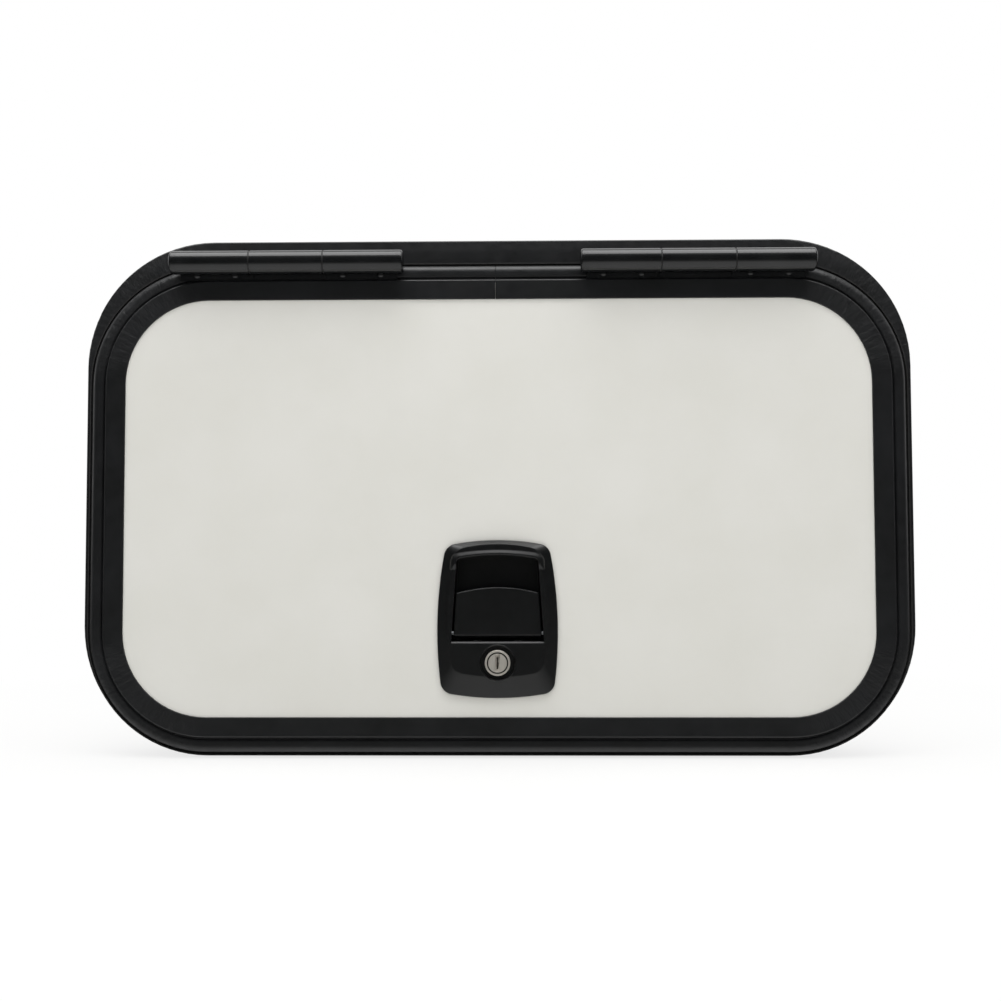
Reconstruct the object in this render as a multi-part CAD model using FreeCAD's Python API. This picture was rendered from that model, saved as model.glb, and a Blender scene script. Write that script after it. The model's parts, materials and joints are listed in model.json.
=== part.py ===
import FreeCAD, Part
import math
import os

from FreeCAD import Vector

# Caravan access door: a wall frame, a top-hung door leaf with a bent trim round a flat panel,
# two barrel hinges and a flush paddle lock with a key cylinder. Millimetres. X runs along the
# width, Z is up and the door faces -Y. The origin is the centre of the back of the wall flange.

# Wall frame, one bent extrusion
frame_width = 610.0
frame_height = 380.0
frame_corner_radius = 94.0
flange_width = 27.0
flange_thickness = 2.0
flange_edge_radius = 1.2
flange_fall = 0.6
flange_fall_width = 8.0
flange_fall_radius = 40.0
spigot_thickness = 1.8
spigot_depth = 28.0
sealant_groove_depth = 0.7
sealant_groove_width = 13.0
sealant_groove_inset = 6.0
extrusion_joint = 0.3
wall_screw_hole_radius = 2.25
wall_screw_hole_y = 18.0
wall_screw_inset_x = 125.0
wall_screw_inset_z = 100.0

# Door leaf, with the window of the trim in which the panel shows
window_side_margin = 32.5
window_end_margin = 38.0
window_corner_radius = 61.3
door_drop = 8.6
door_joint_x = -1.0
seal_height = 2.8
back_lip_clearance = 1.6
panel_thickness = 8.0
outer_skin_thickness = 1.5
inner_skin_thickness = 1.0
panel_edge_clearance = 0.2

# Door trim section, widths counted outward from the visible edge of the panel
lip_thickness = 1.4
lip_width = 14.5
lip_edge_radius = 1.2
lip_inner_radius = 0.6
back_lip_start = 1.5
web_thickness = 1.8
groove_width = 0.8
groove_depth = 2.1
step_width = 1.0
step_height = 1.0
trim_width = 26.3
bead_drop = 3.4
bead_shoulder_radius = 5.6
bead_inner_radius = 2.0
bead_wall = 1.5
bead_inner_wall = 0.5
seal_mouth_width = 6.0
seal_hook = 0.4
hook_thickness = 1.2
bead_inner_chamfer = 1.9

# Door seal
seal_fit = 0.1
seal_foot_gap = 0.3
seal_foot_width = 6.2
seal_lip_gap = 1.3
seal_lip_thickness = 0.9
seal_lip_rise = 2.0
seal_lip_base = 1.2
seal_base_thickness = 1.5

# Hinges
hinge_length = 170.0
hinge_left_inset = 152.0
hinge_right_inset = 159.0
barrel_radius = 8.5
barrel_lift = 0.1
barrel_stand_off = 9.5
hinge_leaf_thickness = 1.8
frame_leaf_thickness = 2.0
frame_leaf_height = 9.0
frame_leaf_rise = 2.8
knuckle_web_thickness = 3.0
hinge_cap_length = 5.0
hinge_cap_round = 2.0
washer_thickness = 1.0
washer_gap = 0.1
hinge_pin_radius = 2.5
hinge_pin_clearance = 0.05
cap_plug_length = 6.0
leaf_edge_gap = 0.3
leaf_knuckle_clearance = 0.5
door_rivet_head_radius = 2.6
door_rivet_head_height = 1.4
door_rivet_tail_radius = 2.0
door_rivet_tail_height = 1.2
rivet_radius = 1.6
door_rivet_inset = 18.9
door_rivet_pitch = 28.0
frame_rivet_head_radius = 2.75
frame_rivet_head_height = 1.0
frame_rivet_tail_radius = 2.6
frame_rivet_places_along = (-66.0, -38.0, 38.0, 66.0)

# Lock housing
lock_height_above_edge = 70.8
bezel_height = 113.4
bezel_top_half_width = 37.3
bezel_middle_half_width = 43.5
bezel_bottom_half_width = 40.3
bezel_middle_drop = 10.5
bezel_arch = 4.0
bezel_corner_radius = 9.5
bezel_edge_height = 1.5
bezel_thickness = 5.6
bezel_face_inset_top = 2.6
bezel_face_inset_side = 8.0
bezel_face_inset_bottom = 15.5
gasket_thickness = 0.8
gasket_inset = 0.6
recess_top_drop = 10.4
recess_bottom_drop = 72.7
recess_top_half_width = 29.3
recess_bottom_half_width = 33.3
recess_arch = 2.9
recess_corner_radius = 3.6
recess_sill_bevel = 1.2
hood_width = 4.4
hood_slope = 3.2
hood_height = 1.3
hood_length = 7.0
box_top_margin = 2.7
box_bottom = 46.0
box_corner_radius = 12.0
box_shoulder_radius = 5.0
box_waist_radius = 40.0
box_wall = 2.0
box_back_y = 6.0
lower_face_thickness = 2.6
cut_out_clearance = 0.5
post_radius = 2.6
upper_post_place = (35.6, 38.0)
lower_post_place = (22.0, -50.4)
post_short_fall = 0.2

# Paddle and latch
paddle_gap = 1.2
paddle_top_drop = 33.9
paddle_arch = 4.1
paddle_bottom_drop = 68.7
paddle_set_back = 2.2
paddle_thickness = 2.3
paddle_edge_radius = 0.7
paddle_lip_depth = 6.0
paddle_lip_height = 2.0
paddle_hub_radius = 3.2
paddle_pin_radius = 1.5
paddle_pin_clearance = 0.05
paddle_pivot_rise = 1.5
paddle_pivot_set_back = 4.8
paddle_angle = 28.0
lever_half_height = 1.5
lever_width = 3.0
lever_centre_x = 15.0
lever_length = 25.0
lever_side_clearance = 0.5
lever_lift_gap = 0.2
bolt_thickness = 2.5
bolt_gap = 0.2
bolt_half_width = 20.0
bolt_fork_half_width = 11.5
bolt_bridge_top = 11.5
bolt_bridge_bottom = 8.5
bolt_tip_bevel = 3.0
bolt_engagement = 6.0
spring_tab_half_width = 5.0
spring_tab_thickness = 2.0
spring_tab_depth = 4.7
spring_length = 19.0
spring_radius = 1.85
spring_wire_radius = 0.45
spring_turns = 5
rail_thickness = 2.5
rail_side_clearance = 0.3
rail_lip = 1.3
rail_lip_thickness = 1.8
rail_below = 7.5
rail_above = 16.5

# Key cylinder
cylinder_drop = 88.0
cylinder_head_radius = 9.2
cylinder_head_height = 5.0
cylinder_head_round = 0.6
cylinder_groove_width = 0.8
cylinder_groove_depth = 1.0
cylinder_recess_radius = 12.2
cylinder_recess_depth = 4.2
cylinder_recess_bevel = 0.6
cylinder_cup_wall = 1.8
cylinder_seat_thickness = 6.0
cylinder_body_radius = 8.3
cylinder_body_clearance = 0.1
cylinder_body_end = 10.5
plug_radius = 6.85
plug_clearance = 0.05
plug_set_back = 0.4
plug_tail_half = 3.0
key_slot_width = 3.2
key_slot_height = 11.5
key_slot_depth = 1.2
keyway_width = 1.4
keyway_height = 8.5
keyway_depth = 8.0
cylinder_nut_across = 22.0
cylinder_nut_thickness = 3.5
cam_thickness = 2.0
cam_gap = 1.0
cam_length = 36.0
cam_half_width = 6.0
cam_screw_radius = 4.0
cam_screw_height = 2.2
cam_screw_shank_radius = 1.9
cam_screw_shank_length = 6.0

# Lock fixing
clamp_width = 98.0
clamp_height = 112.0
clamp_thickness = 1.5
clamp_corner_radius = 12.0
clamp_clearance = 0.8
clamp_screw_radius = 1.4
clamp_screw_head_radius = 2.7
clamp_screw_head_height = 2.0
clamp_screw_length = 8.0
clamp_hole_clearance = 0.2

# Striker
striker_half_width = 26.0
striker_base_thickness = 1.6
striker_base_front = 3.0
striker_base_depth = 19.0
striker_lip_thickness = 2.0
striker_lip_height = 10.5
striker_lip_gap = 0.6
striker_boss_half_width = 8.5
striker_boss_gap = 1.0
striker_screw_x = 20.0
striker_screw_radius = 1.7
striker_screw_head_radius = 3.4
striker_screw_length = 8.0

# Places worked out from the sizes
window_width = frame_width - 2 * window_side_margin
window_height = frame_height - 2 * window_end_margin
wall_screw_spacing_x = frame_width - 2 * wall_screw_inset_x
wall_screw_spacing_z = frame_height - 2 * wall_screw_inset_z
flange_front = -flange_thickness
opening_half_width = frame_width / 2 - flange_width
opening_half_height = frame_height / 2 - flange_width
door_z = -door_drop
back_lip_face = flange_front - back_lip_clearance
panel_back = back_lip_face - lip_thickness
panel_front = panel_back - panel_thickness
lip_front = panel_front - lip_thickness
bead_crown = lip_front + bead_drop
trim_back = flange_front - seal_height
bead_start = lip_width + groove_width + step_width
mouth_end = trim_width - bead_wall - seal_hook
mouth_start = mouth_end - seal_mouth_width
door_top = door_z + window_height / 2 + trim_width
axis_z = door_top + barrel_lift
axis_y = bead_crown - barrel_stand_off
leaf_front = bead_crown - hinge_leaf_thickness
leaf_bottom = door_z + window_height / 2 + lip_width + leaf_edge_gap
hinge_body = hinge_length - 2 * hinge_cap_length
knuckle_gap = washer_thickness + 2 * washer_gap
knuckle_length = (hinge_body - 2 * knuckle_gap) / 3
door_rivet_z = door_z + window_height / 2 + door_rivet_inset
frame_leaf_bottom = axis_z + frame_leaf_rise
frame_rivet_z = frame_leaf_bottom + frame_leaf_height / 2
hinge_centres = {
    "left": hinge_left_inset - frame_width / 2,
    "right": frame_width / 2 - hinge_right_inset,
}
lock_z = door_z - window_height / 2 + lock_height_above_edge
lock_top = lock_z + bezel_height / 2
bezel_back = panel_front - gasket_thickness
bezel_front = bezel_back - bezel_thickness
recess_top = lock_top - recess_top_drop
recess_bottom = lock_top - recess_bottom_drop
box_top = recess_top + box_top_margin
box_floor_y = box_back_y - box_wall
paddle_front = bezel_front + paddle_set_back
paddle_back = paddle_front + paddle_thickness
paddle_bottom = lock_top - paddle_bottom_drop
pivot_y = paddle_front + paddle_pivot_set_back
pivot_z = paddle_bottom + paddle_pivot_rise
bolt_front = box_back_y + bolt_gap
bolt_back = bolt_front + bolt_thickness
lever_slope = math.tan(math.radians(paddle_angle))
lever_tilt_rise = lever_half_height * (1 / math.cos(math.radians(paddle_angle)) - 1)
bolt_travel = (bolt_back - pivot_y) * lever_slope + lever_tilt_rise
striker_base_top = -opening_half_height + striker_base_thickness
striker_lip_top = striker_base_top + striker_lip_height
bolt_tip = striker_lip_top - bolt_engagement
cylinder_z = lock_top - cylinder_drop
cylinder_floor = bezel_front + cylinder_recess_depth
cylinder_seat_end = cylinder_floor + cylinder_seat_thickness
cam_front = cylinder_body_end + cam_gap
clamp_back = panel_back + clamp_thickness


def front_point(y):
    # Turns width and height into a point of the plane that lies y behind the origin.
    return lambda across, up: Vector(across, y, up)


def section_point(start_x, z):
    # Turns an outward distance and a depth into a point of a section that looks along Z.
    return lambda outward, depth: Vector(start_x + outward, depth, z)


def rounded_outline(corners, place):
    # A closed wire of straight runs; each corner (u, v, radius) is turned by a tangent arc.
    runs = []
    count = len(corners)
    for index, (u, v, radius) in enumerate(corners):
        corner = Vector(u, v, 0)
        before = Vector(corners[index - 1][0], corners[index - 1][1], 0)
        after = Vector(corners[(index + 1) % count][0], corners[(index + 1) % count][1], 0)
        back = (before - corner).normalize()
        ahead = (after - corner).normalize()
        if radius == 0:
            runs.append((corner, None, corner))
            continue
        half_angle = back.getAngle(ahead) / 2
        middle = (back + ahead).normalize()
        reach = radius / math.tan(half_angle)
        depth = radius / math.sin(half_angle) - radius
        runs.append((corner + back * reach, corner + middle * depth, corner + ahead * reach))
    edges = []
    for index, (start, middle, end) in enumerate(runs):
        if middle is not None:
            arc = Part.Arc(place(start.x, start.y), place(middle.x, middle.y), place(end.x, end.y))
            edges.append(arc.toShape())
        following = runs[(index + 1) % count][0]
        if (following - end).Length > 1e-6:
            edges.append(Part.makeLine(place(end.x, end.y), place(following.x, following.y)))
    return Part.Wire(edges)


def rounded_rectangle(width, height, radius, centre_z, y):
    half = width / 2
    top = centre_z + height / 2
    bottom = centre_z - height / 2
    corners = [(-half, bottom, radius), (half, bottom, radius), (half, top, radius), (-half, top, radius)]
    return rounded_outline(corners, front_point(y))


def slab(wire, depth):
    # The solid between an outline that faces along Y and its copy, depth further back.
    return Part.Face(wire).extrude(Vector(0, depth, 0))


def block(x_range, y_range, z_range):
    size = [high - low for low, high in (x_range, y_range, z_range)]
    return Part.makeBox(size[0], size[1], size[2], Vector(x_range[0], y_range[0], z_range[0]))


def rod_along_x(radius, start_x, end_x, y, z):
    return Part.makeCylinder(radius, end_x - start_x, Vector(start_x, y, z), Vector(1, 0, 0))


def rod_along_y(radius, start_y, end_y, x, z):
    return Part.makeCylinder(radius, end_y - start_y, Vector(x, start_y, z), Vector(0, 1, 0))


def rod_along_z(radius, start_z, end_z, x, y):
    return Part.makeCylinder(radius, end_z - start_z, Vector(x, y, start_z), Vector(0, 0, 1))


def mirror_x(shape):
    return shape.mirror(Vector(0, 0, 0), Vector(1, 0, 0))


def bent_ring(section, inner_width, inner_height, inner_radius, centre_z):
    # An extrusion bent into a rounded rectangle. The section gives corners (u, v, radius), with
    # u counted outward from the inner rectangle and v along Y.
    half_x = inner_width / 2 - inner_radius
    half_z = inner_height / 2 - inner_radius
    side_low = section_point(inner_width / 2, centre_z - half_z)
    side_top = section_point(inner_width / 2, centre_z + half_z)
    side = Part.Face(rounded_outline(section, side_low)).extrude(Vector(0, 0, 2 * half_z))
    corner_face = Part.Face(rounded_outline(section, side_top))
    pivot = Vector(half_x, 0, centre_z + half_z)
    corner = corner_face.revolve(pivot, Vector(0, -1, 0), 90)
    end_face = corner_face.copy()
    end_face.rotate(pivot, Vector(0, -1, 0), 90)
    top = end_face.extrude(Vector(-2 * half_x, 0, 0))
    middle = Vector(0, 0, centre_z)
    pieces = [side, mirror_x(side), top, top.mirror(middle, Vector(0, 0, 1))]
    for quarter in (corner, mirror_x(corner)):
        pieces.append(quarter)
        pieces.append(quarter.mirror(middle, Vector(0, 0, 1)))
    return pieces[0].multiFuse(pieces[1:]).removeSplitter()


def save(name, shape):
    solids = shape.Solids
    shape = solids[0] if len(solids) == 1 else Part.makeCompound(solids)
    shape.exportStep("parts/" + name + ".step")
    print(name, len(solids), "solids", round(shape.Volume), "mm3", "valid", shape.isValid())


# Wall frame and striker

def wall_frame():
    groove_end = flange_width - sealant_groove_inset
    groove_start = groove_end - sealant_groove_width
    section = [
        (0, flange_front, 0),
        (flange_width - flange_fall_width, flange_front, flange_fall_radius),
        (flange_width, flange_front + flange_fall, flange_edge_radius),
        (flange_width, 0, 0),
        (groove_end, 0, 0),
        (groove_end, -sealant_groove_depth, 0),
        (groove_start, -sealant_groove_depth, 0),
        (groove_start, 0, 0),
        (spigot_thickness, 0, 0),
        (spigot_thickness, spigot_depth, 0),
        (0, spigot_depth, 0),
    ]
    inner_radius = frame_corner_radius - flange_width
    ring = bent_ring(section, 2 * opening_half_width, 2 * opening_half_height, inner_radius, 0)
    gap = (-extrusion_joint / 2, extrusion_joint / 2)
    joint = block(gap, (-flange_thickness - 1, spigot_depth + 1), (-frame_height, -opening_half_height + 1))
    return ring.cut([joint] + wall_screw_holes() + striker_screw_holes() + frame_rivet_holes())


def wall_screw_holes():
    holes = []
    for x in (-wall_screw_spacing_x / 2, wall_screw_spacing_x / 2):
        for start in (-opening_half_height - spigot_thickness - 1, opening_half_height - 1):
            length = spigot_thickness + 2
            holes.append(rod_along_z(wall_screw_hole_radius, start, start + length, x, wall_screw_hole_y))
    for z in (-wall_screw_spacing_z / 2, wall_screw_spacing_z / 2):
        for start in (-opening_half_width - spigot_thickness - 1, opening_half_width - 1):
            length = spigot_thickness + 2
            holes.append(rod_along_x(wall_screw_hole_radius, start, start + length, wall_screw_hole_y, z))
    return holes


def striker_screw_y():
    return striker_base_front + striker_base_depth * 0.66


def striker_screw_holes():
    low = -opening_half_height - spigot_thickness - 1
    places = (-striker_screw_x, striker_screw_x)
    return [rod_along_z(striker_screw_radius, low, striker_lip_top, x, striker_screw_y()) for x in places]


def striker():
    # A cast keeper on the floor of the opening: its lip stands in front of the latch bolt and
    # its thicker middle stands just in front of the cam's path.
    half = striker_half_width
    floor = -opening_half_height
    lip_back = bolt_front - striker_lip_gap
    lip_front = lip_back - striker_lip_thickness
    boss_back = cam_front - striker_boss_gap
    base_back = striker_base_front + striker_base_depth
    base = block((-half, half), (striker_base_front, base_back), (floor, striker_base_top))
    corners = [
        (-half, floor, 0),
        (half, floor, 0),
        (half, striker_lip_top, 3),
        (-half, striker_lip_top, 3),
    ]
    lip = slab(rounded_outline(corners, front_point(lip_front)), striker_lip_thickness)
    boss_side = (-striker_boss_half_width, striker_boss_half_width)
    boss = block(boss_side, (lip_front, boss_back), (floor, striker_lip_top))
    return base.multiFuse([lip, boss]).removeSplitter().cut(striker_screw_holes())


def striker_screws():
    screws = []
    for x in (-striker_screw_x, striker_screw_x):
        y = striker_screw_y()
        tip = striker_base_top - striker_screw_length
        shank = rod_along_z(striker_screw_radius, tip, striker_base_top, x, y)
        crown = striker_screw_head_radius * 0.55
        start = Vector(x, y, striker_base_top)
        head = Part.makeCone(striker_screw_head_radius, crown, 1.8, start, Vector(0, 0, 1))
        screws.append(shank.fuse(head))
    return Part.makeCompound(screws)


# Door leaf

def door_trim():
    groove_floor = lip_front + bead_drop + groove_depth
    floor_back = groove_floor + lip_thickness
    bead_inner = bead_crown + bead_wall
    bead_outer = trim_width - bead_wall
    section = [
        (0, lip_front, lip_inner_radius),
        (lip_width, lip_front, lip_edge_radius),
        (lip_width, groove_floor, 0),
        (lip_width + groove_width, groove_floor, 0),
        (lip_width + groove_width, groove_floor - step_height, 0),
        (bead_start, groove_floor - step_height, 0),
        (bead_start, bead_crown, bead_inner_radius),
        (trim_width, bead_crown, bead_shoulder_radius),
        (trim_width, trim_back, 0),
        (mouth_end, trim_back, 0),
        (mouth_end, trim_back - hook_thickness, 0),
        (bead_outer, trim_back - hook_thickness, 0),
        (bead_outer, bead_inner + bead_inner_chamfer, 0),
        (bead_outer - bead_inner_chamfer, bead_inner, 0),
        (bead_start + bead_inner_wall, bead_inner, 0),
        (bead_start + bead_inner_wall, floor_back, 0),
        (lip_width, floor_back, 0),
        (lip_width, trim_back - hook_thickness, 0),
        (mouth_start, trim_back - hook_thickness, 0),
        (mouth_start, trim_back, 0),
        (lip_width, trim_back, 0),
        (lip_width, back_lip_face, 0),
        (back_lip_start, back_lip_face, 0),
        (back_lip_start, panel_back, 0),
        (lip_width - web_thickness, panel_back, 0),
        (lip_width - web_thickness, panel_front, 0),
        (0, panel_front, 0),
    ]
    ring = bent_ring(section, window_width, window_height, window_corner_radius, door_z)
    gap = (door_joint_x - extrusion_joint / 2, door_joint_x + extrusion_joint / 2)
    top = (door_z + window_height / 2 - 1, door_top + 1)
    joint = block(gap, (lip_front - 1, flange_front), top)
    return ring.cut([joint] + door_rivet_holes())


def door_seal():
    # A rubber strip held in the mouth of the bead: its foot lies on the flange, and an upturned
    # lip stands round the outside of the bead.
    hook_front = trim_back - hook_thickness
    base_top = hook_front - seal_fit - seal_base_thickness
    foot_end = trim_width + seal_lip_gap + seal_lip_thickness
    foot_start = trim_width - seal_foot_width
    foot_face = flange_front - seal_foot_gap
    neck = (mouth_start + seal_fit * 3, mouth_end - seal_fit * 3)
    base = (mouth_start - seal_hook * 2, mouth_end + seal_hook - seal_fit)
    neck_end = trim_back + seal_fit
    lip_inner = trim_width + seal_lip_gap
    section = [
        (neck[0], hook_front - seal_fit, 0),
        (base[0], hook_front - seal_fit, 0),
        (base[0], base_top, 0),
        (base[1], base_top, 0),
        (base[1], hook_front - seal_fit, 0),
        (neck[1], hook_front - seal_fit, 0),
        (neck[1], neck_end, 0),
        (lip_inner, neck_end, 0),
        (lip_inner, neck_end - seal_lip_rise, 0),
        (foot_end, neck_end - seal_lip_rise, 0),
        (foot_end, neck_end + seal_lip_base * 0.6, 0),
        (trim_width, foot_face, 0),
        (foot_start, foot_face, 0),
        (foot_start - seal_lip_base, neck_end, 0),
        (neck[0], neck_end, 0),
    ]
    return bent_ring(section, window_width, window_height, window_corner_radius, door_z)


def panel_layer(front, thickness):
    reach = lip_width - web_thickness - panel_edge_clearance
    radius = window_corner_radius + reach
    outline = rounded_rectangle(window_width + 2 * reach, window_height + 2 * reach, radius, door_z, front)
    return slab(outline, thickness).cut(lock_cut_out(front, thickness))


def lock_cut_out(front, thickness):
    opening = slab(box_outline(cut_out_clearance, front), thickness)
    post_hole = post_radius + cut_out_clearance
    for x, z in post_places():
        opening = opening.fuse(rod_along_y(post_hole, front, front + thickness, x, z))
    return opening


def outer_skin():
    return panel_layer(panel_front, outer_skin_thickness)


def panel_core():
    return panel_layer(panel_front + outer_skin_thickness, panel_thickness - outer_skin_thickness - inner_skin_thickness)


def inner_skin():
    return panel_layer(panel_back - inner_skin_thickness, inner_skin_thickness)


# Hinges

def knuckle(centre_x, length, bore_radius):
    start = centre_x - length / 2
    barrel = rod_along_x(barrel_radius, start, start + length, axis_y, axis_z)
    return barrel, rod_along_x(bore_radius, start - 1, start + length + 1, axis_y, axis_z)


def hinge_frame_leaf(centre_x):
    # The middle knuckle, on a strip that is riveted to the wall flange behind the barrel.
    half = hinge_body / 2
    leaf_face = flange_front - frame_leaf_thickness
    leaf_top = frame_leaf_bottom + frame_leaf_height
    strip = block((centre_x - half, centre_x + half), (leaf_face, flange_front), (frame_leaf_bottom, leaf_top))
    barrel, bore = knuckle(centre_x, knuckle_length, hinge_pin_radius + hinge_pin_clearance)
    across = (centre_x - knuckle_length / 2, centre_x + knuckle_length / 2)
    web_top = frame_leaf_bottom + knuckle_web_thickness
    web = block(across, (axis_y + barrel_radius / 2, leaf_face), (frame_leaf_bottom, web_top))
    return strip.multiFuse([barrel, web]).removeSplitter().cut([bore] + frame_rivet_holes())


def hinge_door_leaf(centre_x):
    # The two outer knuckles, on a strip that is riveted to the crown of the trim's bead.
    half = hinge_body / 2
    plain_top = axis_z - math.sqrt((barrel_radius + leaf_knuckle_clearance) ** 2 - (leaf_front - axis_y) ** 2)
    strip = block((centre_x - half, centre_x + half), (leaf_front, bead_crown), (leaf_bottom, plain_top))
    shapes = []
    bores = []
    for side in (-1, 1):
        outer = centre_x + side * (half - knuckle_length / 2)
        barrel, bore = knuckle(outer, knuckle_length, hinge_pin_radius)
        across = (outer - knuckle_length / 2, outer + knuckle_length / 2)
        shapes.append(barrel)
        shapes.append(block(across, (leaf_front, bead_crown), (leaf_bottom, axis_z)))
        bores.append(bore)
    return strip.multiFuse(shapes).removeSplitter().cut(bores + door_rivet_holes())


def hinge_pin(centre_x):
    half = hinge_body / 2 - cap_plug_length - 0.5
    return rod_along_x(hinge_pin_radius, centre_x - half, centre_x + half, axis_y, axis_z)


def hinge_washer(centre_x, side):
    middle = centre_x + side * (knuckle_length + knuckle_gap) / 2
    start = middle - washer_thickness / 2
    ring = rod_along_x(barrel_radius - 0.2, start, start + washer_thickness, axis_y, axis_z)
    bore_radius = hinge_pin_radius + hinge_pin_clearance
    return ring.cut(rod_along_x(bore_radius, start - 1, start + washer_thickness + 1, axis_y, axis_z))


def hinge_cap(centre_x, side):
    # A moulded cap with a rounded rim, plugged into the bore of the outer knuckle.
    inner = centre_x + side * hinge_body / 2
    outer = inner + side * hinge_cap_length
    low = min(inner, outer)
    disc = rod_along_x(barrel_radius, low, low + hinge_cap_length, axis_y, axis_z)
    rim = [edge for edge in disc.Edges if abs(edge.BoundBox.Center.x - outer) < 0.01]
    disc = disc.makeFillet(hinge_cap_round, rim)
    plug_end = inner - side * cap_plug_length
    plug = rod_along_x(hinge_pin_radius, min(inner, plug_end), max(inner, plug_end), axis_y, axis_z)
    return disc.fuse(plug).removeSplitter()


def frame_rivet_places():
    return [centre + step for centre in hinge_centres.values() for step in frame_rivet_places_along]


def frame_rivet_holes():
    low = flange_front - frame_leaf_thickness - 1
    return [rod_along_y(rivet_radius, low, 1, x, frame_rivet_z) for x in frame_rivet_places()]


def frame_leaf_rivets():
    # Round rivets; the tails are set in the sealant groove, below the back of the flange.
    rivets = []
    face = flange_front - frame_leaf_thickness
    groove_floor = -sealant_groove_depth
    for x in frame_rivet_places():
        head = rod_along_y(frame_rivet_head_radius, face - frame_rivet_head_height, face, x, frame_rivet_z)
        shank = rod_along_y(rivet_radius, face, groove_floor, x, frame_rivet_z)
        tail = rod_along_y(frame_rivet_tail_radius, groove_floor, -0.1, x, frame_rivet_z)
        rivets.append(head.multiFuse([shank, tail]).removeSplitter())
    return Part.makeCompound(rivets)


def door_rivet_places():
    places = []
    for centre in hinge_centres.values():
        for side in (-1, 1):
            outer = centre + side * (hinge_body - knuckle_length) / 2
            places += [outer - door_rivet_pitch / 2, outer + door_rivet_pitch / 2]
    return places


def door_rivet_holes():
    low = leaf_front - 1
    high = bead_crown + bead_wall + 0.2
    return [rod_along_y(rivet_radius, low, high, x, door_rivet_z) for x in door_rivet_places()]


def door_leaf_rivets():
    # Domed rivets through the leaf and the front wall of the bead.
    rivets = []
    wall_back = bead_crown + bead_wall
    dome_radius = (door_rivet_head_radius ** 2 + door_rivet_head_height ** 2) / (2 * door_rivet_head_height)
    for x in door_rivet_places():
        ball = Part.makeSphere(dome_radius, Vector(x, leaf_front - door_rivet_head_height + dome_radius, door_rivet_z))
        room = rod_along_y(door_rivet_head_radius + 1, leaf_front - dome_radius, leaf_front, x, door_rivet_z)
        shank = rod_along_y(rivet_radius, leaf_front, wall_back, x, door_rivet_z)
        tail_end = wall_back + door_rivet_tail_height
        tail = rod_along_y(door_rivet_tail_radius, wall_back, tail_end, x, door_rivet_z)
        rivets.append(ball.common(room).multiFuse([shank, tail]).removeSplitter())
    return Part.makeCompound(rivets)


# Lock

def arched_outline(sides, top, bottom, arches, radii, y):
    # A closed outline of four bowed sides. Each side is an arc through its two corners and a
    # point at its middle; the corners are then rounded. sides gives the half widths at the
    # top, at the widest height and at the bottom, with that height last.
    top_half, middle_half, bottom_half, middle_z = sides
    top_arch, bottom_arch = arches
    place = front_point(y)
    top_left = place(-top_half, top - top_arch)
    top_right = place(top_half, top - top_arch)
    bottom_left = place(-bottom_half, bottom + bottom_arch)
    bottom_right = place(bottom_half, bottom + bottom_arch)
    edges = [
        bowed_edge(bottom_left, place(0, bottom), bottom_right),
        bowed_edge(bottom_right, place(middle_half, middle_z), top_right),
        bowed_edge(top_right, place(0, top), top_left),
        bowed_edge(top_left, place(-middle_half, middle_z), bottom_left),
    ]
    prism = Part.Face(Part.Wire(edges)).extrude(Vector(0, 1, 0))
    upright = [edge for edge in prism.Edges if abs(edge.BoundBox.YLength - 1) < 1e-6 and edge.BoundBox.XLength < 1e-6]
    top_radius, bottom_radius = radii
    middle = (top + bottom) / 2
    low = [edge for edge in upright if edge.BoundBox.Center.z < middle]
    high = [edge for edge in upright if edge.BoundBox.Center.z > middle]
    if bottom_radius:
        prism = prism.makeFillet(bottom_radius, low)
    if top_radius:
        high = [edge for edge in prism.Edges if any(edge.isSame(other) for other in high)] or matching_edges(prism, high)
        prism = prism.makeFillet(top_radius, high)
    faces = [face for face in prism.Faces if abs(face.CenterOfMass.y - y) < 1e-6]
    return faces[0].OuterWire


def matching_edges(shape, wanted):
    found = []
    for other in wanted:
        centre = other.BoundBox.Center
        found += [edge for edge in shape.Edges if (edge.BoundBox.Center - centre).Length < 1e-4]
    return found


def bowed_edge(start, middle, end):
    straight = abs((middle - start).cross(end - start).Length) < 1e-6
    if straight:
        return Part.makeLine(start, end)
    return Part.Arc(start, middle, end).toShape()


def bezel_outline(inset_side, inset_top, inset_bottom, radius, y):
    sides = (
        bezel_top_half_width - inset_side,
        bezel_middle_half_width - inset_side,
        bezel_bottom_half_width - inset_side,
        lock_z - bezel_middle_drop,
    )
    top = lock_top - inset_top
    bottom = lock_top - bezel_height + inset_bottom
    return arched_outline(sides, top, bottom, (bezel_arch, bezel_arch), (radius, radius), y)


def recess_outline(grow, y):
    # The mouth of the hand recess: bowed top, straight sides that spread downward.
    middle_z = (recess_top - recess_arch + recess_bottom) / 2
    middle_half = (recess_top_half_width + recess_bottom_half_width) / 2 + grow
    sides = (recess_top_half_width + grow, middle_half, recess_bottom_half_width + grow, middle_z)
    radii = (recess_corner_radius + grow, 0)
    return arched_outline(sides, recess_top + grow, recess_bottom, (recess_arch, 0), radii, y)


def recess_half_width(z):
    # The sides of the recess spread evenly from its top to its bottom.
    spread = (recess_bottom_half_width - recess_top_half_width) / (recess_top - recess_bottom)
    return recess_top_half_width + spread * (recess_top - z)


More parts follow.
